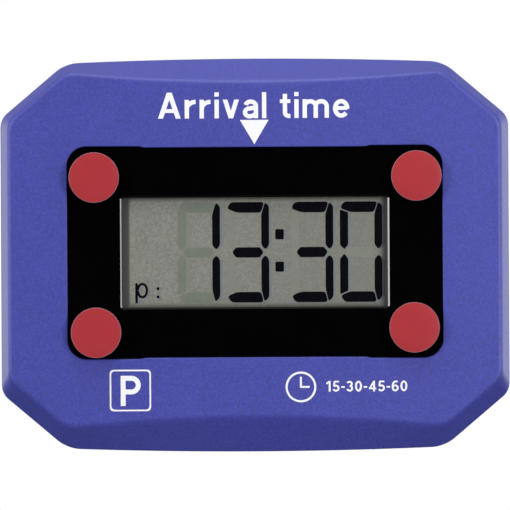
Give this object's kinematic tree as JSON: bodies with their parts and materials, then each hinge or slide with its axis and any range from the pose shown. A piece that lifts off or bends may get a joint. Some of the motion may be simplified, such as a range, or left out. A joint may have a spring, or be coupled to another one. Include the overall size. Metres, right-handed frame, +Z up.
{
  "type": "electronic parking disc",
  "caption": "Eight-sided windscreen parking disc with a large time display in a black window, adhesive pads in front, and a hinged battery door and setting buttons behind.",
  "frame": {"origin": "centre of the plane in which the four pads meet the glass, on the casing's own centre line and at the middle of its height", "axes": "+X to the right as the display is read, +Y from the glass into the car, +Z up"},
  "size_m": [0.105, 0.024, 0.0812],
  "materials": {
    "casing": "blue-violet ABS with a fine moulded grain",
    "window_black": "polished black",
    "display_film": "clear grey film with a fine matte surface",
    "display_glass": "clear glass",
    "display_reflector": "grey-green satin film",
    "display_holder": "white moulded",
    "contact_rubber": "pink silicone with black conducting layers",
    "board": "green solder mask",
    "component_black": "black moulded",
    "bright_metal": "nickel plated",
    "capacitor_can": "bare can",
    "ceramic_parts": "tan ceramic",
    "plunger": "ivory moulded",
    "button_grey": "light grey, fine grain",
    "cell_can": "bright steel can",
    "screw_steel": "zinc plated",
    "pad_foam": "closed-cell foam",
    "pad_liner": "red release film"
  },
  "bodies": {
    "casing": {"front_housing": "casing", "rear_housing": "casing", "window_bezel": "window_black", "lcd_front_film": "display_film", "lcd_front_glass": "display_glass", "lcd_rear_glass": "display_glass", "lcd_reflector": "display_reflector", "lcd_holder": "display_holder", "contact_strip_upper": "contact_rubber", "contact_strip_lower": "contact_rubber", "circuit_board": "board", "controller_chip": "component_black", "motion_sensor": "component_black", "quartz_crystal": "bright_metal", "smoothing_capacitor": "capacitor_can", "chip_parts": "ceramic_parts", "switch_body_left": "component_black", "switch_body_right": "component_black", "coin_cell_left": "cell_can", "coin_cell_right": "cell_can", "cell_base_contact_left": "bright_metal", "cell_base_contact_right": "bright_metal", "cell_rim_contact_left": "bright_metal", "cell_rim_contact_right": "bright_metal", "housing_screws": "screw_steel", "board_screws": "screw_steel", "foam_pad_top_left": "pad_foam", "foam_pad_top_right": "pad_foam", "foam_pad_low_left": "pad_foam", "foam_pad_low_right": "pad_foam", "pad_liner_top_left": "pad_liner", "pad_liner_top_right": "pad_liner", "pad_liner_low_left": "pad_liner", "pad_liner_low_right": "pad_liner"},
    "door": {"battery_door": "casing"},
    "set_key": {"set_button": "button_grey", "switch_plunger_left": "plunger"},
    "plus_key": {"plus_button": "button_grey", "switch_plunger_right": "plunger"}
  },
  "joints": [
    {"name": "battery_door_hinge", "type": "hinge", "parent": "casing", "child": "door", "pos_m": [0, 0.0227, -0.02035], "axis": [-1, 0, 0], "range_deg": [0, 95]},
    {"name": "set_button_press", "type": "slide", "parent": "casing", "child": "set_key", "axis": [0, -1, 0], "range_m": [0, 0.0005], "stiffness_N_per_m": 2000, "springref_m": -0.0002},
    {"name": "plus_button_press", "type": "slide", "parent": "casing", "child": "plus_key", "axis": [0, -1, 0], "range_m": [0, 0.0005], "stiffness_N_per_m": 2000, "springref_m": -0.0002}
  ]
}
